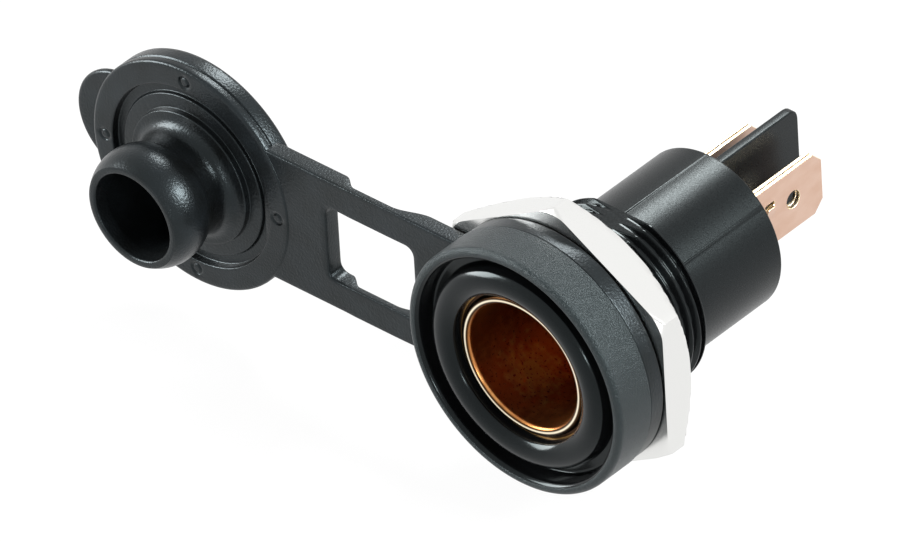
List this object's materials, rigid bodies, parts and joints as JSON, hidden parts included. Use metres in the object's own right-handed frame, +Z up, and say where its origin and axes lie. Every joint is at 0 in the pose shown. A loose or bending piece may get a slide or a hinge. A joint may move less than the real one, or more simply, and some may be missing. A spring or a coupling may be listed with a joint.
{
  "type": "single-pole power socket",
  "caption": "Panel power socket with a brass sleeve, a hex nut on a threaded neck, two rear blade terminals and a rubber cap on a strap.",
  "frame": {"origin": "on the socket's axis, in the plane of the rubber ring's rear face, which lies on the panel", "axes": "-Y along the socket's axis out of its mouth, +Y to the rear and the terminals, -X towards the open cap, +Z up"},
  "size_m": [0.0672, 0.0411, 0.0278],
  "materials": {
    "housing_plastic": "moulded, glossy black",
    "cap_rubber": "moulded, satin black",
    "nickel_plate": "turned and nickel plated",
    "sleeve_brass": "drawn and polished",
    "blade_brass": "pressed sheet, satin",
    "washer_board": "pressed board, dull"
  },
  "bodies": {
    "socket": {"housing": "housing_plastic", "retaining_ring": "cap_rubber", "contact_sleeve": "sleeve_brass", "sleeve_blade": "blade_brass", "centre_contact": "sleeve_brass", "centre_blade": "blade_brass", "insulating_washer": "washer_board"},
    "nut": {"hex_nut": "nickel_plate"},
    "cap": {"sealing_cap": "cap_rubber"}
  },
  "joints": [
    {"name": "cap_fold", "type": "hinge", "parent": "socket", "child": "cap", "pos_m": [-0.02025, -0.0039, 0], "axis": [0, 0, 1], "range_deg": [0, 180], "stiffness_Nm_per_rad": 0.0005},
    {"name": "nut_travel", "type": "slide", "parent": "socket", "child": "nut", "axis": [0, 1, 0], "range_m": [0, 0.004]}
  ]
}
